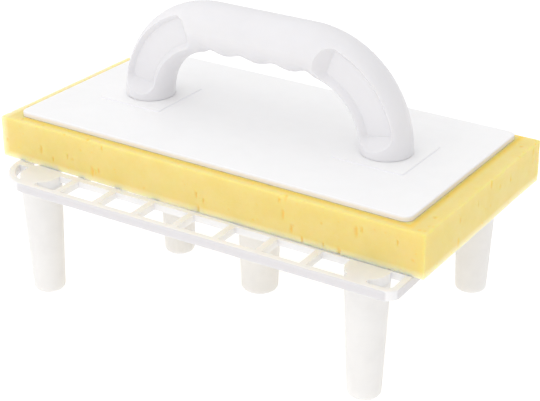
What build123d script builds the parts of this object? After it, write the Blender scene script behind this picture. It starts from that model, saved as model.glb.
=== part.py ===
"""Sponge float standing on its drain tray.

The tray is a flat grid on six push-fit hollow legs.  The float is a D-handled board with a thick
sponge glued under it, set down loosely on the grid.  Lengths are in millimetres.  The origin is
on the floor under the middle leg, X runs along the float, Y across it and Z up.
"""
import math
import os

from build123d import *

os.makedirs("parts", exist_ok=True)

# ---- Grid of the drain tray ----
grid_length = 264.0
grid_width = 168.0
left_corner_radius = 26.0  # the left end is rounder than the right one
right_corner_radius = 8.0
stand_height = 75.0        # floor to the top of the grid
rim_height = 5.5
rim_width = 4.0
rim_edge_radius = 0.8
bar_width = 4.0
bar_depth = 4.0
column_pitch = 27.0
column_offset = -3.5       # the cross bar nearest the middle
row_count = 8
end_window = 8.0           # slot between a corner leg's boss and the end rim
side_web = 1.5             # web from that boss to the side rim
web_width = 12.0

# ---- Legs ----
leg_foot_diameter = 18.4
leg_top_diameter = 24.0
centre_foot_diameter = 22.0
centre_top_diameter = 27.0
leg_wall = 2.0
leg_floor = 2.5
foot_radius = 2.6          # rounding round the foot
inner_leg_column = -3      # the inner leg stands beside this cross bar, counted from the middle one
inner_leg_gap = 1.0        # between that bar and the leg
inner_leg_y = 14.5
spigot_length = 9.0
spigot_wall = 2.0
spigot_clearance = 0.1

# ---- The float as it is set down on the grid ----
float_x = -2.0
float_y = 9.6
float_turn = -1.1
rest_gap = 0.3

# ---- Sponge, glue and board ----
sponge_length = 282.0
sponge_width = 140.0
sponge_thickness = 24.5
sponge_edge_radius = 1.5
glue_thickness = 0.3
glue_inset = 1.0
board_length = 256.0
board_width = 129.5
board_thickness = 2.8
board_corner_radius = 5.0
board_edge_radius = 0.8
board_y = 2.0              # the board sits this far behind the sponge's centre line
pad_size = 45.0            # low square pad under each handle foot
pad_height = 0.6
pad_corner_radius = 2.0

# ---- Handle ----
handle_x = -2.6            # the handle's middle along the board
foot_span = 163.0          # between the centre lines of the two feet
grip_radius = 15.0
grip_rise = 50.4           # from the pads up to the grip's centre line
foot_height = 1.2          # straight part of each foot, under the bend
finger_pitch = 22.0
finger_count = 4
finger_relief = 2.3
stations_per_finger = 4
foot_edge_radius = 0.6
panel_floor = 8.0          # from the handle's middle plane to the sunk panel
panel_inner_reach = 6.8    # from the centre line of the bend to the edges of the panel's floor
panel_outer_reach = 8.0
panel_start = 20.0         # degrees round the bend, from the grip
panel_end = 78.0
panel_corner_radius = 2.0
panel_draft = 45.0

# ---- Screws from below into the handle feet ----
screw_length = 14.0
screw_diameter = 4.0
screw_head_diameter = 8.0
screw_head_height = 2.2
screw_tip_length = 3.0
screw_spacing = 10.0
screw_clearance = 0.1
pilot_clearance = 0.03
pilot_end_room = 1.0

# ---- Sizes that follow ----
leg_height = stand_height - rim_height
field_length = grid_length - 2 * rim_width
field_width = grid_width - 2 * rim_width
row_pitch = (field_width + bar_width) / row_count
boss_radius = leg_top_diameter / 2
corner_leg_x = field_length / 2 - end_window - boss_radius
corner_leg_y = field_width / 2 - side_web - boss_radius
inner_leg_x = column_offset + inner_leg_column * column_pitch + bar_width / 2 + inner_leg_gap + boss_radius

glue_z = sponge_thickness
board_z = glue_z + glue_thickness
board_top = board_z + board_thickness
pad_top = board_top + pad_height
bend_radius = grip_rise - foot_height
bend_z = pad_top + foot_height
bend_x = foot_span / 2 - bend_radius
finger_half = finger_pitch * finger_count / 2

LEGS = {
    "front_left_leg": (-corner_leg_x, -corner_leg_y, leg_foot_diameter, leg_top_diameter),
    "front_right_leg": (corner_leg_x, -corner_leg_y, leg_foot_diameter, leg_top_diameter),
    "back_left_leg": (-corner_leg_x, corner_leg_y, leg_foot_diameter, leg_top_diameter),
    "back_right_leg": (corner_leg_x, corner_leg_y, leg_foot_diameter, leg_top_diameter),
    "inner_leg": (inner_leg_x, inner_leg_y, leg_foot_diameter, leg_top_diameter),
    "centre_leg": (0, 0, centre_foot_diameter, centre_top_diameter),
}


def spigot_radius(top_diameter):
    """Outside radius of the spigot that a leg with this top is pushed over."""
    return top_diameter / 2 - leg_wall - spigot_clearance


def make_leg(x, y, foot_diameter, top_diameter):
    """Hollow tapered leg with a closed rounded foot and a straight socket at its top."""
    foot = foot_diameter / 2
    top = top_diameter / 2
    bore = top - leg_wall
    socket_floor = leg_height - spigot_length - pilot_end_room
    half = make_face(
        Polyline(
            (0, 0),
            (foot, 0),
            (top, leg_height),
            (bore, leg_height),
            (bore, socket_floor),
            (foot - leg_wall, leg_floor),
            (0, leg_floor),
            close=True,
        )
    )
    foot_corner = half.vertices().filter_by_position(Axis.Y, 0, 0).sort_by(Axis.X)[-1]
    half = fillet(foot_corner, foot_radius)
    return Pos(x, y, 0) * revolve(Plane.XZ * half, Axis.Z)


def tray_outline(inset):
    """Outline of the tray, drawn in by the inset; its left corners are rounder than its right ones."""
    outline = Rectangle(grid_length - 2 * inset, grid_width - 2 * inset)
    outline = fillet(outline.vertices().group_by(Axis.X)[-1], right_corner_radius - inset)
    return fillet(outline.vertices().group_by(Axis.X)[0], left_corner_radius - inset)


def leg_bosses():
    """Solid round bosses over the legs, and a web from each corner one to the side rim."""
    rounds = [Pos(x, y) * Circle(top / 2) for x, y, _, top in LEGS.values()]
    web_length = boss_radius + side_web
    webs = [
        Pos(x, side * (field_width - web_length) / 2) * Rectangle(web_width, web_length)
        for x in (-corner_leg_x, corner_leg_x)
        for side in (-1, 1)
    ]
    return rounds + webs


def grid_windows():
    """The see-through part of the grid: the field less its bars and the bosses of the legs."""
    half_columns = math.ceil(field_length / column_pitch / 2) + 1
    columns = [
        Pos(column_offset + index * column_pitch, 0) * Rectangle(bar_width, field_width)
        for index in range(-half_columns, half_columns + 1)
    ]
    rows = [
        Pos(0, -field_width / 2 - bar_width / 2 + index * row_pitch) * Rectangle(field_length, bar_width)
        for index in range(1, row_count)
    ]
    return tray_outline(rim_width) - columns - rows - leg_bosses()


def make_grid():
    """Flat grid with a deeper rim, solid bosses over the legs and a spigot under each boss."""
    grid = extrude(tray_outline(0), rim_height)
    outer_edges = grid.edges().filter_by(Plane.XY).group_by(Axis.Z)
    grid = fillet(outer_edges[0] + outer_edges[-1], rim_edge_radius)
    grid -= extrude(tray_outline(rim_width), rim_height - bar_depth)
    grid -= extrude(grid_windows(), rim_height)
    grid += [extrude(boss, rim_height) for boss in leg_bosses()]
    for x, y, _, top in LEGS.values():
        ring = Circle(spigot_radius(top)) - Circle(spigot_radius(top) - spigot_wall)
        grid += Pos(x, y) * extrude(ring, -spigot_length)
    return Pos(0, 0, leg_height) * grid


def make_sponge():
    """Plain closed block of the sponge's full size."""
    block = extrude(RectangleRounded(sponge_length, sponge_width, sponge_edge_radius), sponge_thickness)
    return fillet(block.edges().filter_by(Plane.XY), sponge_edge_radius / 2)


def make_glue():
    """Thin glue layer, a little smaller than the board."""
    length = board_length - 2 * glue_inset
    width = board_width - 2 * glue_inset
    layer = extrude(RectangleRounded(length, width, board_corner_radius - glue_inset), glue_thickness)
    return Pos(0, board_y, glue_z) * layer


def screw_places():
    """Places of the screw axes on the float, two under each handle foot."""
    return [
        (handle_x + side * foot_span / 2, board_y + end * screw_spacing / 2)
        for side in (-1, 1)
        for end in (-1, 1)
    ]


def make_screw():
    """Countersunk self-tapping screw, head down, with its head's face at z = 0."""
    head = screw_head_diameter / 2
    shank = screw_diameter / 2
    half = make_face(
        Polyline(
            (0, 0),
            (head, 0),
            (shank, screw_head_height),
            (shank, screw_length - screw_tip_length),
            (0, screw_length),
            close=True,
        )
    )
    return revolve(Plane.XZ * half, Axis.Z)


def screw_hole():
    """Countersunk clearance hole for the board, matching make_screw."""
    head = screw_head_diameter / 2 + screw_clearance
    shank = screw_diameter / 2 + screw_clearance
    through = board_thickness + pad_height
    half = make_face(
        Polyline(
            (0, 0),
            (head, 0),
            (shank, screw_head_height),
            (shank, through),
            (0, through),
            close=True,
        )
    )
    return revolve(Plane.XZ * half, Axis.Z)


def make_board():
    """Thin moulded board with rounded corners and two low square pads for the handle."""
    board = extrude(RectangleRounded(board_length, board_width, board_corner_radius), board_thickness)
    board = fillet(board.edges().group_by(Axis.Z)[-1], board_edge_radius)
    pad = extrude(RectangleRounded(pad_size, pad_size, pad_corner_radius), pad_height, taper=45)
    for side in (-1, 1):
        board += Pos(handle_x + side * foot_span / 2, 0, board_thickness) * pad
    board = Pos(0, board_y, board_z) * board
    for x, y in screw_places():
        board -= Pos(x, y, board_z) * screw_hole()
    return board


def grip_place(distance):
    """Plane across the handle, at a distance along its centre line from the middle."""
    turn = max(0.0, abs(distance) - bend_x) / bend_radius
    x = min(abs(distance), bend_x) + bend_radius * math.sin(turn)
    z = bend_z + bend_radius * math.cos(turn)
    along = (math.cos(turn), 0, -math.sin(turn))
    if distance < 0:
        x = -x
        along = (along[0], 0, -along[2])
    return Plane(origin=(x, 0, z), x_dir=(0, 1, 0), z_dir=along)


def grip_section(distance):
    """Round above, and below an ellipse whose depth waves with the finger grooves."""
    wave = (1 - math.cos(2 * math.pi * distance / finger_pitch)) / 2
    upper = CenterArc((0, 0), grip_radius, 0, 180)
    depth = grip_radius - finger_relief * wave
    lower = EllipticalCenterArc((0, 0), grip_radius, depth, start_angle=180, arc_size=180)
    return grip_place(distance) * make_face([upper, lower])


def panel_cut():
    """Tool for the sunk panel on the right-hand bend, on the side facing -Y; it widens outwards."""
    start = 90 - panel_start
    sweep = panel_start - panel_end
    inner_arc = CenterArc((bend_x, bend_z), bend_radius - panel_inner_reach, start, sweep)
    outer_arc = CenterArc((bend_x, bend_z), bend_radius + panel_outer_reach, start, sweep)
    floor = make_face(
        [inner_arc, outer_arc, Line(inner_arc @ 0, outer_arc @ 0), Line(inner_arc @ 1, outer_arc @ 1)]
    )
    floor = fillet(floor.vertices(), panel_corner_radius)
    return Plane.XZ.offset(panel_floor) * extrude(floor, grip_radius - panel_floor, taper=-panel_draft)


def make_handle():
    """D-shaped handle: a waved grip lofted along its middle, round bends and short round feet."""
    count = finger_count * stations_per_finger
    step = finger_pitch / stations_per_finger
    handle = loft([grip_section(-finger_half + index * step) for index in range(count + 1)])

    end = grip_place(finger_half)
    turned = math.degrees((finger_half - bend_x) / bend_radius)
    bend_axis = Axis((bend_x, 0, bend_z), (0, 1, 0))
    seam_below = Rot(0, 0, 90)
    bend = revolve(end * seam_below * Circle(grip_radius), bend_axis, 90 - turned)
    foot = Pos(foot_span / 2, 0, pad_top) * extrude(Circle(grip_radius), bend_z - pad_top)
    foot = fillet(foot.edges().group_by(Axis.Z)[0], foot_edge_radius)
    arm = bend + foot
    handle = handle + arm + mirror(arm, Plane.YZ)
    front_panel = panel_cut()
    for panel in (front_panel, mirror(front_panel, Plane.XZ)):
        handle -= panel
        handle -= mirror(panel, Plane.YZ)

    handle = Pos(handle_x, board_y, 0) * handle
    depth = screw_length - board_thickness - pad_height + pilot_end_room
    for x, y in screw_places():
        handle -= Pos(x, y, pad_top) * extrude(Circle(screw_diameter / 2 + pilot_clearance), depth)
    return handle


def main():
    """Build every piece and write one file for each."""
    for name, leg in LEGS.items():
        export_step(make_leg(*leg), f"parts/{name}.step")
    export_step(make_grid(), "parts/drain_grid.step")

    on_grid = Pos(float_x, float_y, stand_height + rest_gap) * Rot(0, 0, float_turn)
    screws = Compound([Pos(x, y, board_z) * make_screw() for x, y in screw_places()])
    export_step(on_grid * make_sponge(), "parts/sponge_pad.step")
    export_step(on_grid * make_glue(), "parts/adhesive_film.step")
    export_step(on_grid * make_board(), "parts/backing_board.step")
    export_step(on_grid * screws, "parts/handle_screws.step")
    export_step(on_grid * make_handle(), "parts/handle.step")


main()
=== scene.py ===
"""Dresses a sponge float and its drain tray: moulded plastics, the foam pad, the glue line and a studio."""

import math

import bmesh
import bpy
import numpy as np
from bpy.props import FloatProperty, FloatVectorProperty, IntProperty, PointerProperty
from mathutils import Matrix, Vector, noise


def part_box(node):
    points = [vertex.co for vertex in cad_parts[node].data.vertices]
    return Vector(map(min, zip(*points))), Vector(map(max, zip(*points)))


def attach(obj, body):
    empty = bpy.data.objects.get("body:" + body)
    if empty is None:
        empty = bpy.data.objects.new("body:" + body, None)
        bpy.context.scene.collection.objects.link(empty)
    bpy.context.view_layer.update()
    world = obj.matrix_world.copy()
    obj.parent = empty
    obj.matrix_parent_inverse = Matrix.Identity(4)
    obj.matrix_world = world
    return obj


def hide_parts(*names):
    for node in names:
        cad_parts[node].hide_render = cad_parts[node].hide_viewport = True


bl_info = {
    "name": "Sponge Float Dresser",
    "version": (1, 0, 0),
    "blender": (4, 5, 0),
    "location": "View3D > Sidebar > Sponge Float",
    "description": "Finishes a sponge float and its drain tray, grows the foam pad and sets up a studio",
    "category": "Object",
}

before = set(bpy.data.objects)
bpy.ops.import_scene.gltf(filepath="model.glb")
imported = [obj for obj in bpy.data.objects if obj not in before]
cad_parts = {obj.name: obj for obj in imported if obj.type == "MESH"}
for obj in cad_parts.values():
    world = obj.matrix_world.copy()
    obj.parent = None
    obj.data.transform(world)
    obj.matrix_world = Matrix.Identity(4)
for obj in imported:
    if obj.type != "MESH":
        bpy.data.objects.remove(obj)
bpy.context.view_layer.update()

LEGS = ("front_left_leg", "front_right_leg", "back_left_leg", "back_right_leg", "inner_leg", "centre_leg")
PAD_TURN = math.radians(-1.1)   # how the float lies turned on the tray
WHITE = (1.0, 1.0, 1.0, 1.0)

# Moulded plastic: its clouds, its worn patches, its peel and how light runs inside it
CLOUD_RANGE = (0.5, 1.05)
FLOW_RATIO = 3.7           # how much finer the flow marks are than the clouds
FLOW_IN_CLOUDS = 0.4
FLOW_IN_PEEL = 0.6
SCUFF_STRETCH = (1.0, 9.0, 3.0)
WORN_RANGE = (0.35, 0.72)
PEEL_HEIGHT = 0.00004
PLASTIC_IOR = 1.49
PLASTIC_SCATTER = (1.0, 0.95, 0.88)
RIM_SHADE_REACH = 0.0009          # how far in the painted shade on the tray's outside reaches

# Foam: its cells, painted shade in their hollows and pits, its changes of tint and how light runs inside it
CELL_JITTER = 0.0006
FINER_CELLS = 2.3          # small cells in the width of a large one
LARGE_CELL_SHARE = 0.65
HOLLOW_RANGE = (0.5, 0.12)
HOLLOW_SHADE = 0.16
TINT_PER_CELL = 0.055      # patches of tint in the width of a cell
TINT_RANGE = (0.32, 0.7)
TINT_SHARE = 0.12
# Share of painted shade in the pits.
PORE_SHADE = 0.6
CELL_HEIGHT = 0.0003
FOAM_SCATTER = (1.0, 0.7, 0.25)
FOAM_SCATTER_WEIGHT = 0.85
FOAM_SCATTER_DEPTH = 0.009

# Pits and slits: their ragged edges, their sizes and their sides
NOISE_MIDDLE = (0.5, 0.5, 0.5)
RAGGED_SCALE = 900.0
RAGGED_REACH = 0.0009
SIZE_POWER = 3.0           # the higher it is, the rarer the large ones are
HOLE_RANGE = (1.0, 0.25)
SLIT_SEED_STEP = 11.0
PIT_SOCKETS = {"Density": "Pits", "Smallest": "Smallest Pit", "Largest": "Largest Pit", "Depth": "Pit Depth"}
SLIT_SOCKETS = {
    "Density": "Slits",
    "Smallest": "Narrowest Slit",
    "Largest": "Widest Slit",
    "Depth": "Slit Depth",
    "Stretch": "Slit Stretch",
}
SKIN_LEVEL = 0.8           # height of the grain that leaves the skin where it is

# Glue and steel
LUMP_SCALE = 260.0
LUMP_TINT_RANGE = (0.35, 0.7)
LUMP_GLOSS_RANGE = (0.3, 0.7)
LUMP_HEIGHT = 0.0001
GLUE_SHADE = 0.75
GLUE_GLOSS = (0.28, 0.5)
TURNING_MARKS = (120.0, 120.0, 2600.0)
MARK_RANGE = (0.3, 0.7)
MARK_HEIGHT = 0.00002
STEEL_SHINE = 1.2
STEEL_GLOSS = (0.25, 0.45)

# Meshes and floor
RADIUS_WAVES = 3           # waves of an edge's radius in one wave of the sides
FLAT_FROM = 0.5            # upright share of its normal past which a face is the top or the underside
MERGE_WITHIN = 1e-6
FLOOR_GRAIN = 40.0
FLOOR_SHADE = 0.995


def footprint(node):
    """Length and width of a node that is turned with the pad, worked out from its upright box."""
    low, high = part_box(node)
    across_x, across_y = high.x - low.x, high.y - low.y
    cosine, sine = math.cos(PAD_TURN), abs(math.sin(PAD_TURN))
    spread = cosine**2 - sine**2
    return (across_x * cosine - across_y * sine) / spread, (across_y * cosine - across_x * sine) / spread


def middle(node):
    """The middle of a frame node's box."""
    low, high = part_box(node)
    return (low + high) / 2


def thickness(node):
    """The height of a frame node's box."""
    low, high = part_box(node)
    return high.z - low.z


def colour_field(name, description, value):
    """A colour that the user can change."""
    return FloatVectorProperty(
        name=name, description=description, default=value, subtype="COLOR", size=3, min=0.0, max=1.0
    )


def length_field(name, description, value):
    """A length in metres that the user can change."""
    return FloatProperty(name=name, description=description, default=value, unit="LENGTH", precision=5)


def number_field(name, description, value):
    """A plain number that the user can change."""
    return FloatProperty(name=name, description=description, default=value)


def count_field(name, description, value):
    """A whole number that the user can change."""
    return IntProperty(name=name, description=description, default=value)


def angle_field(name, description, degrees):
    """An angle that the user can change."""
    return FloatProperty(name=name, description=description, default=math.radians(degrees), subtype="ANGLE")


def place_field(name, description, value):
    """A place in metres that the user can change."""
    return FloatVectorProperty(name=name, description=description, default=value, unit="LENGTH")


class PadSettings(bpy.types.PropertyGroup):
    """Sizes and colours of the foam pad."""

    length: length_field("Length", "Pad along the float", footprint("sponge_pad")[0])
    width: length_field("Width", "Pad across the float", footprint("sponge_pad")[1])
    thickness: length_field("Thickness", "Pad from the tray to the glue", thickness("sponge_pad"))
    coarse_step: length_field("Coarse step", "Mesh step where the board and the tray hide the pad", 0.0028)
    fine_cuts: count_field("Fine cuts", "Cuts of a coarse step where the pad shows", 3)
    top_margin: length_field("Top margin", "Fine border of the top, in under the edge of the board", 0.016)
    bottom_margin: length_field("Bottom margin", "Fine border of the underside", 0.006)
    edge_radius: length_field("Edge radius", "Softness of the sawn edges", 0.0009)
    lower_radius: length_field("Lower radius", "Softness of the edges that rest on the tray", 0.0004)
    edge_wander: number_field("Edge wander", "Share by which a radius varies", 0.45)
    side_wave: length_field("Side wave", "How far the sawn sides wander in and out", 0.0002)
    wave_pitch: length_field("Wave pitch", "Length of that wander", 0.035)
    sharp_from: angle_field("Sharp from", "Angle past which an edge is shaded sharp", 55)
    swell: length_field("Swell", "How far the foam rises to the board and sags onto the tray", 0.00032)
    # The crease and its start: a band of painted shade on the foam along the board's edge.
    contact_shade: length_field("Contact Shade", "Width of the deeper band that the board presses into the foam", 0.0060)
    crease_start: length_field("Crease start", "How far out from the glue that band starts", 0.0013)
    skin_relief: length_field("Skin relief", "Fine unevenness of the sawn skin", 0.00009)
    skin_pitch: length_field("Skin pitch", "Size of that unevenness", 0.0022)
    # The three bands below are painted light along the foam's edges, widest at the left end.
    pale_border: length_field("Pale border", "Width of the paler band along the lower edges", 0.0042)
    end_pale: length_field("End pale", "Width of that band at the left end, where it is widest", 0.0055)
    upper_pale: number_field("Upper pale", "How pale the upper edges are beside the lower ones", 0.04)
    pits_per_area: number_field("Pits", "Round pits in a square metre", 7000.0)
    pit_smallest: length_field("Smallest pit", "Radius of the smallest pit", 0.0004)
    pit_largest: length_field("Largest pit", "Radius of the largest pit", 0.0013)
    pit_depth: length_field("Pit depth", "Depth of a pit", 0.00045)
    slits_per_area: number_field("Slits", "Slits in a square metre", 2600.0)
    slit_smallest: length_field("Narrowest slit", "Half width of the narrowest slit", 0.0008)
    slit_largest: length_field("Widest slit", "Half width of the widest slit", 0.0018)
    slit_depth: length_field("Slit depth", "Depth of a slit", 0.0007)
    slit_stretch: number_field("Slit stretch", "Height of a slit over its width", 3.0)
    seed: count_field("Seed", "Where the pits and slits fall, and how the sides wander", 7)
    cell_size: length_field("Cell size", "Size of the foam's fine cells", 0.0009)
    foam: colour_field("Foam", "Body of the foam", (0.81, 0.65, 0.22))
    # Pale foam serves the random paler tint and the painted light along the foam's edges.
    pale: colour_field("Pale foam", "Foam along its pale edges", (0.95, 0.86, 0.58))
    # Deep foam is painted shade: in the cell hollows, in the pits and along the board's edge.
    deep: colour_field("Deep foam", "Foam down in the pits and along the crease", (0.90, 0.60, 0.09))


class PlasticSettings(bpy.types.PropertyGroup):
    """Colours and textures of the plastic, glue and steel."""

    board: colour_field("Board", "Backing board", (0.935, 0.93, 0.935))
    # The darker board side colour is painted shade: the sides get less light than the top.
    board_side: colour_field("Board side", "Duller sides of the board", (0.86, 0.85, 0.88))
    handle: colour_field("Handle", "Handle", (0.80, 0.79, 0.81))
    tray: colour_field("Tray", "Drain grid", (0.85, 0.845, 0.855))
    # The darker rim colour is painted shade on the outside of the tray's rim.
    rim: colour_field("Rim", "Outside of the tray's rim", (0.70, 0.685, 0.70))
    # The legs' warm tint is a painted warm reflection of the yellow foam's light.
    legs: colour_field("Legs", "Legs of the tray", (0.88, 0.855, 0.83))
    glue: colour_field("Glue", "Glue line under the board", (0.95, 0.78, 0.40))
    steel: colour_field("Steel", "Screws", (0.55, 0.55, 0.57))
    board_reach: length_field("Board reach", "How far the board's left end runs on past its solid", 0.0042)
    board_end: length_field("Board end", "Length of the board's end that is moved for it", 0.010)
    side_slope: number_field("Side slope", "Upright share of its normal below which a face is a side", 0.9)
    peel_pitch: length_field("Peel pitch", "Size of the fine moulded texture", 0.0011)
    cloud_pitch: length_field("Cloud pitch", "Size of the faint clouds in the plastic", 0.028)


class StudioSettings(bpy.types.PropertyGroup):
    """Camera, lamps and floor."""

    camera_place: place_field("Camera", "Where the camera stands", (0.3947, -0.6112, 0.4123))
    camera_heading: angle_field("Heading", "Camera turned round the upright", 32.36)
    camera_dip: angle_field("Dip", "Camera looking down", 25.98)
    camera_roll: angle_field("Roll", "Camera rolled", -0.23)
    lens: number_field("Lens", "Focal length in millimetres", 92.1)
    floor_width: length_field("Floor width", "Side of the square floor", 9.0)
    floor: colour_field("Floor", "Floor", (0.35, 0.35, 0.35))
    floor_glow: number_field("Floor glow", "Light that comes up through the floor", 0.80)
    sky: number_field("Sky", "Light from all round", 0.82)
    key: FloatProperty(name="Key", description="Power of the large lamp overhead", default=26.0, unit="POWER")
    key_width: length_field("Key width", "Side of the large lamp", 4.5)
    key_place: place_field("Key place", "Where the large lamp hangs", (-0.9, -0.4, 2.1))
    fill: FloatProperty(name="Fill", description="Power of the lamp in front", default=3.5, unit="POWER")
    fill_width: length_field("Fill width", "Side of the lamp in front", 1.2)
    fill_place: place_field("Fill place", "Where the lamp in front stands", (-0.15, -1.7, 0.35))


def add(tree, kind, sockets=None, **settings):
    """A new node with its settings, and values or links on its inputs."""
    node = tree.nodes.new(kind)
    for name, value in settings.items():
        setattr(node, name, value)
    for key, value in (sockets or {}).items():
        if isinstance(value, bpy.types.NodeSocket):
            tree.links.new(value, node.inputs[key])
        else:
            node.inputs[key].default_value = value
    return node


def math_of(tree, operation, first, second):
    """A math node on two values."""
    return add(tree, "ShaderNodeMath", {0: first, 1: second}, operation=operation).outputs[0]


def vector_of(tree, operation, first, second, key=1):
    """A vector math node on two vectors, or on a vector and a scale."""
    return add(tree, "ShaderNodeVectorMath", {0: first, key: second}, operation=operation).outputs[0]


def eased(tree, value, start, end, low=0.0, high=1.0):
    """A value carried smoothly from one range to another."""
    sockets = {"Value": value, "From Min": start, "From Max": end, "To Min": low, "To Max": high}
    return add(tree, "ShaderNodeMapRange", sockets, interpolation_type="SMOOTHSTEP").outputs[0]


def blended(tree, share, first, second):
    """Two colours mixed by a share."""
    return add(tree, "ShaderNodeMix", {0: share, 6: first, 7: second}, data_type="RGBA").outputs[2]


def opaque(colour):
    """A colour with full alpha."""
    return (*colour, 1.0)


def noise_of(tree, place, scale, detail, output=0, **others):
    """A noise texture at a place: its value, or another of its outputs."""
    sockets = {"Vector": place, "Scale": scale, "Detail": detail, **others}
    return add(tree, "ShaderNodeTexNoise", sockets).outputs[output]


def own_place(tree):
    """The place of a shading point on its own object."""
    return add(tree, "ShaderNodeTexCoord").outputs["Object"]


def mark(tree, name):
    """The share that a mesh attribute holds."""
    return add(tree, "ShaderNodeAttribute", attribute_name=name).outputs["Fac"]


def set_sockets(node, values):
    """Sets constants on a node's own sockets."""
    for name, value in values.items():
        node.inputs[name].default_value = value


def new_group(name, kind, inputs, outputs):
    """A node group with named sockets, and its input and output nodes."""
    group = bpy.data.node_groups.new(name, kind)
    for label, socket, value in inputs:
        made = group.interface.new_socket(label, in_out="INPUT", socket_type=socket)
        if value is not None:
            made.default_value = value
    for label, socket in outputs:
        group.interface.new_socket(label, in_out="OUTPUT", socket_type=socket)
    return group, group.nodes.new("NodeGroupInput").outputs, group.nodes.new("NodeGroupOutput").inputs


def placed(tree, group, sockets):
    """A node group placed in a tree, with values or links on its named inputs."""
    kind = "ShaderNodeGroup" if group.bl_idname == "ShaderNodeTree" else "GeometryNodeGroup"
    return add(tree, kind, sockets, node_tree=group).outputs


def moulded_skin():
    """Shader group for a moulded face: faint clouds in the colour, patches of gloss and a fine peel."""
    group, given, out = new_group(
        "moulded_skin",
        "ShaderNodeTree",
        (
            ("Colour", "NodeSocketColor", (0.9, 0.9, 0.9, 1.0)),
            ("Shade", "NodeSocketColor", (0.8, 0.8, 0.8, 1.0)),
            ("Cloud Pitch", "NodeSocketFloat", 0.03),
            ("Peel Pitch", "NodeSocketFloat", 0.001),
            ("Gloss Low", "NodeSocketFloat", 0.3),
            ("Gloss High", "NodeSocketFloat", 0.5),
        ),
        (("Colour", "NodeSocketColor"), ("Roughness", "NodeSocketFloat"), ("Height", "NodeSocketFloat")),
    )
    place = own_place(group)
    cloud_scale = math_of(group, "DIVIDE", 1.0, given["Cloud Pitch"])
    peel_scale = math_of(group, "DIVIDE", 1.0, given["Peel Pitch"])
    clouds = noise_of(group, place, cloud_scale, 4.0, Roughness=0.6)
    flow = noise_of(group, place, math_of(group, "MULTIPLY", cloud_scale, FLOW_RATIO), 3.0)
    peel = noise_of(group, place, peel_scale, 2.0)
    scuffs = noise_of(group, vector_of(group, "MULTIPLY", place, SCUFF_STRETCH), cloud_scale, 6.0)
    tone = math_of(group, "ADD", math_of(group, "MULTIPLY", flow, FLOW_IN_CLOUDS), clouds)
    shaded = blended(group, eased(group, tone, *CLOUD_RANGE), given["Colour"], given["Shade"])
    group.links.new(shaded, out["Colour"])
    span = math_of(group, "SUBTRACT", given["Gloss High"], given["Gloss Low"])
    worn = eased(group, scuffs, *WORN_RANGE)
    rough = math_of(group, "ADD", given["Gloss Low"], math_of(group, "MULTIPLY", span, worn))
    group.links.new(rough, out["Roughness"])
    height = math_of(group, "ADD", peel, math_of(group, "MULTIPLY", flow, FLOW_IN_PEEL))
    group.links.new(height, out["Height"])
    return group


def foam_cells():
    """Shader group for open foam: round cells with thin walls, in two sizes, with painted shade in their
    hollows, slow changes of tint, painted light along the edges and painted shade in the pits and along the
    board's edge.
    """
    group, given, out = new_group(
        "foam_cells",
        "ShaderNodeTree",
        (
            ("Foam", "NodeSocketColor", (0.95, 0.75, 0.25, 1.0)),
            ("Pale", "NodeSocketColor", (0.95, 0.85, 0.5, 1.0)),
            ("Shaded", "NodeSocketColor", (0.8, 0.5, 0.1, 1.0)),
            ("Cell Size", "NodeSocketFloat", 0.0009),
            ("Edge", "NodeSocketFloat", 0.0),
            ("Pore", "NodeSocketFloat", 0.0),
            ("Contact Shade", "NodeSocketFloat", 0.0),
        ),
        (("Colour", "NodeSocketColor"), ("Height", "NodeSocketFloat")),
    )
    place = own_place(group)
    scale = math_of(group, "DIVIDE", 1.0, given["Cell Size"])
    jitter = noise_of(group, place, scale, 1.0, "Color")
    bent = vector_of(group, "ADD", place, vector_of(group, "SCALE", jitter, CELL_JITTER, "Scale"))
    finer = math_of(group, "MULTIPLY", scale, FINER_CELLS)
    large, small = (
        add(group, "ShaderNodeTexVoronoi", {"Vector": bent, "Scale": size}, feature="SMOOTH_F1").outputs[0]
        for size in (scale, finer)
    )
    tint = noise_of(group, place, math_of(group, "MULTIPLY", scale, TINT_PER_CELL), 5.0, Roughness=0.62)
    cells = math_of(
        group,
        "ADD",
        math_of(group, "MULTIPLY", large, LARGE_CELL_SHARE),
        math_of(group, "MULTIPLY", small, 1.0 - LARGE_CELL_SHARE),
    )
    hollow = eased(group, cells, *HOLLOW_RANGE)
    body = blended(group, eased(group, tint, *TINT_RANGE, 0.0, TINT_SHARE), given["Foam"], given["Pale"])
    # Painted light along the foam's edges, from the edge mask.
    body = blended(group, given["Edge"], body, given["Pale"])
    # Painted shade in the hollows of the cells.
    body = blended(group, math_of(group, "MULTIPLY", hollow, HOLLOW_SHADE), body, given["Shaded"])
    # Painted shade in the pits and along the board's edge.
    pit_and_contact_shade = math_of(group, "MAXIMUM", math_of(group, "MULTIPLY", given["Pore"], PORE_SHADE), given["Contact Shade"])
    body = blended(group, pit_and_contact_shade, body, given["Shaded"])
    group.links.new(body, out["Colour"])
    group.links.new(cells, out["Height"])
    return group


def shared(maker):
    """The node group that a maker builds, built once."""
    return bpy.data.node_groups.get(maker.__name__) or maker()


def blank_material(name):
    """A node material with its Principled shader."""
    material = bpy.data.materials.new(name)
    material.use_nodes = True
    return material, material.node_tree, material.node_tree.nodes["Principled BSDF"]


def bump(tree, height, distance, strength):
    """A bump normal from a height."""
    sockets = {"Height": height, "Distance": distance, "Strength": strength}
    return add(tree, "ShaderNodeBump", sockets).outputs[0]


def board_side_share(tree):
    """Mask of the board's sides, which get painted shade."""
    return mark(tree, "side")


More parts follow.
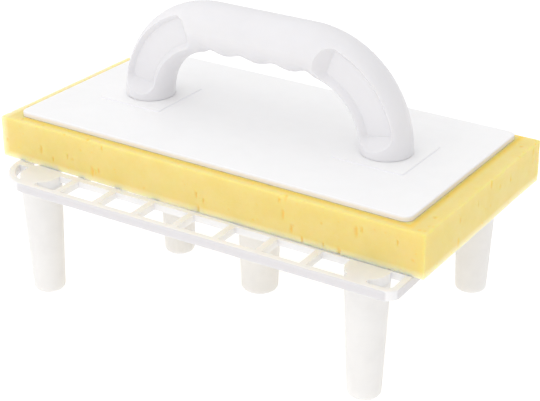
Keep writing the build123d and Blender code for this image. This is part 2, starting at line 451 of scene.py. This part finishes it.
def rim_side_share(tree):
    """Mask of the outside of the tray's rim, which gets painted shade."""
    low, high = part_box("drain_grid")
    from_middle = add(tree, "ShaderNodeVectorMath", {0: own_place(tree)}, operation="ABSOLUTE").outputs[0]
    spot = add(tree, "ShaderNodeSeparateXYZ", {0: from_middle}).outputs
    past_x = math_of(tree, "SUBTRACT", spot["X"], (high.x - low.x) / 2)
    past_y = math_of(tree, "SUBTRACT", spot["Y"], (high.y - low.y) / 2)
    return eased(tree, math_of(tree, "MAXIMUM", past_x, past_y), -RIM_SHADE_REACH, -RIM_SHADE_REACH / 3)


def plastic(name, colour, gloss, peel=0.25, shade=0.94, scatter=0.0, depth=0.002, side=None, side_share=None):
    """Moulded plastic: a colour with faint clouds, painted shade on its sides where a mask is given, a range
    of roughness, a peel and the light inside it.
    """
    looks = bpy.context.scene.float_plastic
    material, tree, shader = blank_material(name)
    skin = placed(
        tree,
        shared(moulded_skin),
        {
            "Colour": opaque(colour),
            "Shade": opaque(tuple(c * shade for c in colour)),
            "Cloud Pitch": looks.cloud_pitch,
            "Peel Pitch": looks.peel_pitch,
            "Gloss Low": gloss[0],
            "Gloss High": gloss[1],
        },
    )
    body = skin["Colour"]
    # Painted shade on the sides that the mask picks out.
    if side:
        body = blended(tree, side_share(tree), body, opaque(side))
    tree.links.new(body, shader.inputs["Base Color"])
    tree.links.new(skin["Roughness"], shader.inputs["Roughness"])
    tree.links.new(bump(tree, skin["Height"], PEEL_HEIGHT, peel), shader.inputs["Normal"])
    set_sockets(
        shader,
        {
            "IOR": PLASTIC_IOR,
            "Subsurface Weight": scatter,
            "Subsurface Scale": depth,
            "Subsurface Radius": PLASTIC_SCATTER,
        },
    )
    return material


def glue_material():
    """Clear amber glue with a slightly lumpy bead."""
    looks = bpy.context.scene.float_plastic
    material, tree, shader = blank_material("glue_line")
    lumps = noise_of(tree, own_place(tree), LUMP_SCALE, 3.0)
    dark = tuple(c * GLUE_SHADE for c in looks.glue)
    tint = blended(tree, eased(tree, lumps, *LUMP_TINT_RANGE), opaque(looks.glue), opaque(dark))
    tree.links.new(tint, shader.inputs["Base Color"])
    tree.links.new(eased(tree, lumps, *LUMP_GLOSS_RANGE, *GLUE_GLOSS), shader.inputs["Roughness"])
    tree.links.new(bump(tree, lumps, LUMP_HEIGHT, 0.5), shader.inputs["Normal"])
    return material


def steel_material():
    """Zinc plated steel with fine turning marks."""
    looks = bpy.context.scene.float_plastic
    material, tree, shader = blank_material("zinc_steel")
    marks = noise_of(tree, vector_of(tree, "MULTIPLY", own_place(tree), TURNING_MARKS), 1.0, 4.0)
    pale = tuple(min(1.0, c * STEEL_SHINE) for c in looks.steel)
    tree.links.new(blended(tree, marks, opaque(looks.steel), opaque(pale)), shader.inputs["Base Color"])
    tree.links.new(eased(tree, marks, *MARK_RANGE, *STEEL_GLOSS), shader.inputs["Roughness"])
    tree.links.new(bump(tree, marks, MARK_HEIGHT, 0.4), shader.inputs["Normal"])
    set_sockets(shader, {"Metallic": 1.0})
    return material


def foam_material():
    """Yellow open foam, with painted light along its lower edges and painted shade in its pits and along the
    board's edge.
    """
    pad = bpy.context.scene.float_pad
    material, tree, shader = blank_material("yellow_foam")
    cells = placed(
        tree,
        shared(foam_cells),
        {
            "Foam": opaque(pad.foam),
            "Pale": opaque(pad.pale),
            "Shaded": opaque(pad.deep),
            "Cell Size": pad.cell_size,
            # The edge mask brings painted light; the pore and crease masks bring painted shade.
            "Edge": mark(tree, "edge"),
            "Pore": mark(tree, "pore"),
            "Contact Shade": mark(tree, "contact_shade"),
        },
    )
    tree.links.new(cells["Colour"], shader.inputs["Base Color"])
    tree.links.new(bump(tree, cells["Height"], CELL_HEIGHT, 0.35), shader.inputs["Normal"])
    set_sockets(
        shader,
        {
            "Roughness": 0.95,
            "Specular IOR Level": 0.15,
            "Subsurface Weight": FOAM_SCATTER_WEIGHT,
            "Subsurface Scale": FOAM_SCATTER_DEPTH,
            "Subsurface Radius": FOAM_SCATTER,
            "Sheen Weight": 0.1,
            "Sheen Roughness": 0.6,
        },
    )
    return material


def dress(node, material):
    """Gives a frame node its finish."""
    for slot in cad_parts[node].material_slots:
        slot.link = "OBJECT"
        slot.material = material


def rests_hidden(face, pad):
    """Whether a face of the coarse block lies under the board or over the tray, where no one sees it."""
    if abs(face.normal.z) < FLAT_FROM:
        return False
    heart = face.calc_center_median()
    margin = pad.top_margin if face.normal.z > 0 else pad.bottom_margin
    return abs(heart.x) < pad.length / 2 - margin and abs(heart.y) < pad.width / 2 - margin


def sawn_block(pad):
    """A closed block the size of the pad, with fine faces where it shows and coarse ones where it doesn't."""
    block = bmesh.new()
    spans = (pad.length, pad.width, pad.thickness)
    bmesh.ops.create_cube(block, size=1.0, matrix=Matrix.Diagonal((*spans, 1.0)))
    for axis, span in enumerate(spans):
        lines = [e for e in block.edges if abs(e.verts[0].co[axis] - e.verts[1].co[axis]) > span / 2]
        cuts = round(span / pad.coarse_step) - 1
        bmesh.ops.subdivide_edges(block, edges=lines, cuts=cuts, use_grid_fill=True)
    block.normal_update()
    shown = [face for face in block.faces if not rests_hidden(face, pad)]
    lines = list(dict.fromkeys(edge for face in shown for edge in face.edges))
    bmesh.ops.subdivide_edges(
        block, edges=lines, cuts=pad.fine_cuts, use_grid_fill=True, use_single_edge=True
    )
    bmesh.ops.recalc_face_normals(block, faces=block.faces)
    return block


def glue_place():
    """Half length and half width of the glue, and its middle as seen from the middle of the pad."""
    length, width = footprint("adhesive_film")
    offset = Matrix.Rotation(-PAD_TURN, 4, "Z") @ (middle("adhesive_film") - middle("sponge_pad"))
    return length / 2, width / 2, offset


def soften(block, pad):
    """Rounds the block's edges, lets its faces wave and swell, and marks the band of painted shade along the
    board's edge.
    """
    noise.seed_set(pad.seed)  # else noise_vector starts from the clock
    half = Vector((pad.length, pad.width, pad.thickness)) / 2
    contact_shade = block.verts.layers.float["contact_shade"]
    glue_x, glue_y, glue = glue_place()
    for vertex in block.verts:
        here = vertex.co.copy()
        mean = pad.edge_radius if here.z > 0 else pad.lower_radius
        radius = mean * (1.0 + pad.edge_wander * noise.noise(here / (pad.wave_pitch / RADIUS_WAVES)))
        core = Vector(max(-h + radius, min(h - radius, c)) for c, h in zip(here, half))
        outward = here - core
        if outward.length > 0:
            vertex.co = core + outward.normalized() * radius
        sway = noise.noise_vector(here / pad.wave_pitch) * pad.side_wave
        for axis in (0, 1):
            if half[axis] - abs(here[axis]) < radius:
                vertex.co[axis] += sway[axis]
        if here.z > 0:
            bare = max(abs(here.x - glue.x) - glue_x, abs(here.y - glue.y) - glue_y)
            vertex.co.z += pad.swell
            # Marks a band of painted shade on the foam beside the board's edge.
            if half.z - here.z < radius and here.x > glue.x - glue_x:
                rise = bare / pad.crease_start - 1.0
                fade = 2.0 * (1.0 - bare / pad.contact_shade)
                vertex[contact_shade] = max(0.0, min(rise, fade, 1.0))
        elif half.z + here.z < radius:
            vertex.co.z -= pad.swell


def edge_share(here, half, pad):
    """How much painted light a point of the block gets: most along the lower edges and at the left end."""
    gap_x, gap_y, gap_z = (h - abs(c) for c, h in zip(here, half))
    share = max(0.0, 1.0 - max(gap_z, min(gap_x, gap_y), 0.0) / pad.pale_border)
    end_share = max(0.0, 1.0 - (here.x + half.x) / pad.end_pale)
    return max(end_share, share if here.z < 0 else share * pad.upper_pale)


def carve_pores():
    """Geometry group that sinks holes of one kind into a mesh, at random places, and marks them."""
    group, given, out = new_group(
        "carve_pores",
        "GeometryNodeTree",
        (
            ("Geometry", "NodeSocketGeometry", None),
            ("Density", "NodeSocketFloat", 10000.0),
            ("Smallest", "NodeSocketFloat", 0.0004),
            ("Largest", "NodeSocketFloat", 0.0012),
            ("Depth", "NodeSocketFloat", 0.001),
            ("Stretch", "NodeSocketFloat", 1.0),
            ("Seed", "NodeSocketInt", 0),
        ),
        (("Geometry", "NodeSocketGeometry"),),
    )
    points = add(
        group,
        "GeometryNodeDistributePointsOnFaces",
        {"Mesh": given["Geometry"], "Density": given["Density"], "Seed": given["Seed"]},
    ).outputs["Points"]
    here = add(group, "GeometryNodeInputPosition").outputs[0]
    ragged = vector_of(group, "SUBTRACT", noise_of(group, here, RAGGED_SCALE, 2.0, "Color"), NOISE_MIDDLE)
    shaken = vector_of(group, "SCALE", ragged, RAGGED_REACH, "Scale")
    nearest = add(group, "GeometryNodeSampleNearest", {"Geometry": points}, domain="POINT").outputs[0]
    draw = add(group, "FunctionNodeRandomValue", {2: 0.0, 3: 1.0, "Seed": given["Seed"]}, data_type="FLOAT")
    heart, luck = (
        add(
            group,
            "GeometryNodeSampleIndex",
            {"Geometry": points, "Value": value, "Index": nearest},
            data_type=kind,
            domain="POINT",
        ).outputs[0]
        for kind, value in (("FLOAT_VECTOR", here), ("FLOAT", draw.outputs[1]))
    )
    spread = math_of(group, "SUBTRACT", given["Largest"], given["Smallest"])
    rarity = math_of(group, "POWER", luck, SIZE_POWER)
    radius = math_of(group, "ADD", given["Smallest"], math_of(group, "MULTIPLY", spread, rarity))
    away = vector_of(group, "ADD", vector_of(group, "SUBTRACT", here, heart), shaken)
    squeeze = add(group, "ShaderNodeCombineXYZ", {"X": 1.0, "Y": 1.0, "Z": given["Stretch"]}).outputs[0]
    reach = vector_of(group, "DIVIDE", away, squeeze)
    gap = add(group, "ShaderNodeVectorMath", {0: reach}, operation="LENGTH").outputs["Value"]
    hole = eased(group, math_of(group, "DIVIDE", gap, radius), *HOLE_RANGE)
    before = add(group, "GeometryNodeInputNamedAttribute", {"Name": "pore"}, data_type="FLOAT").outputs[0]
    marked = add(
        group,
        "GeometryNodeStoreNamedAttribute",
        {"Geometry": given["Geometry"], "Name": "pore", "Value": math_of(group, "MAXIMUM", before, hole)},
        data_type="FLOAT",
        domain="POINT",
    ).outputs[0]
    normal = add(group, "GeometryNodeInputNormal").outputs[0]
    sink = math_of(group, "MULTIPLY", math_of(group, "MULTIPLY", hole, given["Depth"]), -1.0)
    moved = add(
        group,
        "GeometryNodeSetPosition",
        {"Geometry": marked, "Offset": vector_of(group, "SCALE", normal, sink, "Scale")},
    ).outputs[0]
    group.links.new(moved, out["Geometry"])
    return group


def foam_surface():
    """Geometry tree for the foam's surface: an uneven skin, round pits and upright slits."""
    floats = ("Skin Relief", "Skin Pitch", *PIT_SOCKETS.values(), *SLIT_SOCKETS.values())
    tree, given, out = new_group(
        "foam_surface",
        "GeometryNodeTree",
        (
            ("Geometry", "NodeSocketGeometry", None),
            *((name, "NodeSocketFloat", 0.0) for name in floats),
            ("Seed", "NodeSocketInt", 0),
            ("Material", "NodeSocketMaterial", None),
        ),
        (("Geometry", "NodeSocketGeometry"),),
    )
    here = add(tree, "GeometryNodeInputPosition").outputs[0]
    normal = add(tree, "GeometryNodeInputNormal").outputs[0]
    grain = noise_of(tree, here, math_of(tree, "DIVIDE", 1.0, given["Skin Pitch"]), 2.0)
    lift = math_of(tree, "MULTIPLY", math_of(tree, "SUBTRACT", grain, SKIN_LEVEL), given["Skin Relief"])
    shape = add(
        tree,
        "GeometryNodeSetPosition",
        {"Geometry": given["Geometry"], "Offset": vector_of(tree, "SCALE", normal, lift, "Scale")},
    ).outputs[0]
    slit_seed = math_of(tree, "ADD", given["Seed"], SLIT_SEED_STEP)
    for names, seed in ((PIT_SOCKETS, given["Seed"]), (SLIT_SOCKETS, slit_seed)):
        sockets = {key: given[name] for key, name in names.items()}
        shape = placed(tree, shared(carve_pores), {**sockets, "Geometry": shape, "Seed": seed})[0]
    whole = add(tree, "GeometryNodeRealizeInstances", {"Geometry": shape}).outputs[0]
    finish = {"Geometry": whole, "Material": given["Material"]}
    dressed = add(tree, "GeometryNodeSetMaterial", finish).outputs[0]
    tree.links.new(dressed, out["Geometry"])
    return tree


def grown(base, tree, values):
    """The plain mesh that a geometry tree makes of an object."""
    modifier = base.modifiers.new("grow", "NODES")
    modifier.node_group = tree
    sockets = {s.name: s.identifier for s in tree.interface.items_tree if s.in_out == "INPUT"}
    for name, value in values.items():
        modifier[sockets[name]] = value
    view = bpy.context.evaluated_depsgraph_get()
    shape = base.evaluated_get(view)
    mesh = bpy.data.meshes.new_from_object(shape, preserve_all_data_layers=True, depsgraph=view)
    base.modifiers.remove(modifier)
    return mesh


class SPONGEFLOAT_OT_pad(bpy.types.Operator):
    """Grows the foam pad in place of its plain solid."""

    bl_idname = "sponge_float.pad"
    bl_label = "Foam Pad"

    def execute(self, context):
        """Builds the sawn block, carves its surface and sets it under the board."""
        pad = context.scene.float_pad
        half = Vector((pad.length, pad.width, pad.thickness)) / 2
        block = sawn_block(pad)
        # The edge layer holds the share of painted light along the foam's edges.
        edge = block.verts.layers.float.new("edge")
        block.verts.layers.float.new("pore")
        block.verts.layers.float.new("contact_shade")
        for vertex in block.verts:
            vertex[edge] = edge_share(vertex.co, half, pad)
        soften(block, pad)
        mesh = bpy.data.meshes.new("foam_pad")
        block.to_mesh(mesh)
        block.free()
        foam = bpy.data.objects.new("foam_pad", mesh)
        context.scene.collection.objects.link(foam)
        values = {
            "Pits": pad.pits_per_area,
            "Smallest Pit": pad.pit_smallest,
            "Largest Pit": pad.pit_largest,
            "Pit Depth": pad.pit_depth,
            "Slits": pad.slits_per_area,
            "Narrowest Slit": pad.slit_smallest,
            "Widest Slit": pad.slit_largest,
            "Slit Depth": pad.slit_depth,
            "Slit Stretch": pad.slit_stretch,
            "Skin Relief": pad.skin_relief,
            "Skin Pitch": pad.skin_pitch,
            "Seed": pad.seed,
            "Material": foam_material(),
        }
        foam.data = grown(foam, foam_surface(), values)
        foam.data.transform(Matrix.Translation(middle("sponge_pad")) @ Matrix.Rotation(PAD_TURN, 4, "Z"))
        foam.data.polygons.foreach_set("use_smooth", np.ones(len(foam.data.polygons), bool))
        foam.data.set_sharp_from_angle(angle=pad.sharp_from)
        foam.data.update()
        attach(foam, "float")
        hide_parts("sponge_pad")
        return {"FINISHED"}


def longer_board(looks):
    """A copy of the backing board whose left end runs on a little further over the foam."""
    length = footprint("backing_board")[0]
    along = Matrix.Rotation(PAD_TURN, 3, "Z") @ Vector((1.0, 0.0, 0.0))
    centre = middle("backing_board")
    shape = bmesh.new()
    shape.from_mesh(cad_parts["backing_board"].data)
    bmesh.ops.remove_doubles(shape, verts=shape.verts, dist=MERGE_WITHIN)
    for vertex in shape.verts:
        if (vertex.co - centre).dot(along) < looks.board_end - length / 2:
            vertex.co -= along * looks.board_reach
    mesh = bpy.data.meshes.new("long_board")
    shape.to_mesh(mesh)
    shape.free()
    mesh.polygons.foreach_set("use_smooth", np.zeros(len(mesh.polygons), bool))
    # Marks the board's sides for painted shade.
    side = mesh.attributes.new("side", "FLOAT", "FACE")
    side.data.foreach_set("value", [float(abs(face.normal.z) < looks.side_slope) for face in mesh.polygons])
    return bpy.data.objects.new("long_board", mesh)


class SPONGEFLOAT_OT_board(bpy.types.Operator):
    """Finishes the backing board and the glue line under it."""

    bl_idname = "sponge_float.board"
    bl_label = "Board and Glue"

    def execute(self, context):
        """Builds the board in place of its plain solid and gives both their materials."""
        looks = context.scene.float_plastic
        board = longer_board(looks)
        board.data.materials.append(
            plastic(
                "board_plastic",
                looks.board,
                gloss=(0.34, 0.52),
                peel=0.3,
                shade=0.975,
                scatter=0.2,
                side=looks.board_side,
                side_share=board_side_share,
            )
        )
        context.scene.collection.objects.link(board)
        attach(board, "float")
        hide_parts("backing_board")
        dress("adhesive_film", glue_material())
        return {"FINISHED"}


class SPONGEFLOAT_OT_handle(bpy.types.Operator):
    """Finishes the handle and its screws."""

    bl_idname = "sponge_float.handle"
    bl_label = "Handle and Screws"

    def execute(self, context):
        """Gives both their materials."""
        finish = plastic(
            "handle_plastic",
            context.scene.float_plastic.handle,
            gloss=(0.3, 0.42),
            peel=0.2,
            shade=0.975,
            scatter=0.35,
            depth=0.003,
        )
        dress("handle", finish)
        dress("handle_screws", steel_material())
        return {"FINISHED"}


class SPONGEFLOAT_OT_tray(bpy.types.Operator):
    """Finishes the drain grid and its six legs."""

    bl_idname = "sponge_float.tray"
    bl_label = "Drain Tray"

    def execute(self, context):
        """Gives the grid and the legs their milky plastic, with painted shade on the outside of the rim."""
        looks = context.scene.float_plastic
        tray = plastic(
            "tray_plastic",
            looks.tray,
            gloss=(0.36, 0.5),
            scatter=0.5,
            depth=0.004,
            side=looks.rim,
            side_share=rim_side_share,
        )
        dress("drain_grid", tray)
        # The legs' colour carries a painted warm reflection of the yellow foam's light.
        legs = plastic("leg_plastic", looks.legs, gloss=(0.38, 0.55), scatter=0.3, depth=0.006)
        for leg in LEGS:
            dress(leg, legs)
        return {"FINISHED"}


def facing(place, target):
    """The turn that points a lamp at a target."""
    return (Vector(target) - Vector(place)).to_track_quat("-Z", "Y").to_euler()


def softbox(name, place, width, power):
    """A large square lamp pointed at the float."""
    lamp = bpy.data.lights.new(name, "AREA")
    lamp.shape = "SQUARE"
    lamp.size = width
    lamp.energy = power
    holder = bpy.data.objects.new(name, lamp)
    holder.location = place
    holder.rotation_euler = facing(place, middle("backing_board"))
    bpy.context.scene.collection.objects.link(holder)


class SPONGEFLOAT_OT_stage(bpy.types.Operator):
    """Sets up the floor, the lamps and the camera."""

    bl_idname = "sponge_float.stage"
    bl_label = "Studio"

    def execute(self, context):
        """Builds the studio round the float."""
        studio = context.scene.float_studio
        self.lay_floor(studio)
        self.hang_lamps(studio)
        self.set_camera(studio)
        context.scene.view_settings.view_transform = "Standard"
        return {"FINISHED"}

    def lay_floor(self, studio):
        """A plain pale floor."""
        half = studio.floor_width / 2
        mesh = bpy.data.meshes.new("studio_floor")
        corners = [(-half, -half, 0.0), (half, -half, 0.0), (half, half, 0.0), (-half, half, 0.0)]
        mesh.from_pydata(corners, [], [(0, 1, 2, 3)])
        floor = bpy.data.objects.new("studio_floor", mesh)
        bpy.context.scene.collection.objects.link(floor)
        material, tree, shader = blank_material("studio_floor")
        grain = noise_of(tree, own_place(tree), FLOOR_GRAIN, 3.0)
        shade = opaque(tuple(c * FLOOR_SHADE for c in studio.floor))
        tree.links.new(blended(tree, grain, opaque(studio.floor), shade), shader.inputs["Base Color"])
        glow = {"Emission Color": WHITE, "Emission Strength": studio.floor_glow}
        set_sockets(shader, {"Roughness": 0.9, "Specular IOR Level": 0.0, **glow})
        mesh.materials.append(material)

    def hang_lamps(self, studio):
        """A bright sky and two softboxes."""
        world = bpy.data.worlds.new("studio_sky")
        world.use_nodes = True
        set_sockets(world.node_tree.nodes["Background"], {"Color": WHITE, "Strength": studio.sky})
        bpy.context.scene.world = world
        softbox("key_lamp", studio.key_place, studio.key_width, studio.key)
        softbox("fill_lamp", studio.fill_place, studio.fill_width, studio.fill)

    def set_camera(self, studio):
        """The camera, by its place and its three turns."""
        optics = bpy.data.cameras.new("studio_camera")
        optics.lens = studio.lens
        optics.clip_start = 0.01
        camera = bpy.data.objects.new("studio_camera", optics)
        turn = (
            Matrix.Rotation(studio.camera_heading, 4, "Z")
            @ Matrix.Rotation(math.pi / 2 - studio.camera_dip, 4, "X")
            @ Matrix.Rotation(studio.camera_roll, 4, "Z")
        )
        camera.matrix_world = Matrix.Translation(studio.camera_place) @ turn
        bpy.context.scene.collection.objects.link(camera)
        bpy.context.scene.camera = camera


OPERATORS = (
    SPONGEFLOAT_OT_stage,
    SPONGEFLOAT_OT_tray,
    SPONGEFLOAT_OT_board,
    SPONGEFLOAT_OT_handle,
    SPONGEFLOAT_OT_pad,
)


class SPONGEFLOAT_PT_panel(bpy.types.Panel):
    """Lists the steps that dress the float."""

    bl_idname = "SPONGEFLOAT_PT_panel"
    bl_label = "Sponge Float"
    bl_space_type = "VIEW_3D"
    bl_region_type = "UI"
    bl_category = "Sponge Float"

    def draw(self, context):
        """One button for each step."""
        for operator in OPERATORS:
            self.layout.operator(operator.bl_idname)


CLASSES = (PadSettings, PlasticSettings, StudioSettings, *OPERATORS, SPONGEFLOAT_PT_panel)
SETTINGS = {"float_pad": PadSettings, "float_plastic": PlasticSettings, "float_studio": StudioSettings}


def register():
    """Registers the classes and puts the settings on the scene."""
    for cls in CLASSES:
        bpy.utils.register_class(cls)
    for name, group in SETTINGS.items():
        setattr(bpy.types.Scene, name, PointerProperty(type=group))


def unregister():
    """Takes the settings and the classes away again."""
    for name in SETTINGS:
        delattr(bpy.types.Scene, name)
    for cls in reversed(CLASSES):
        bpy.utils.unregister_class(cls)


def main():
    """Dresses the float step by step."""
    register()
    for operator in OPERATORS:
        family, step = operator.bl_idname.split(".")
        getattr(getattr(bpy.ops, family), step)()


if __name__ == "__main__":
    main()
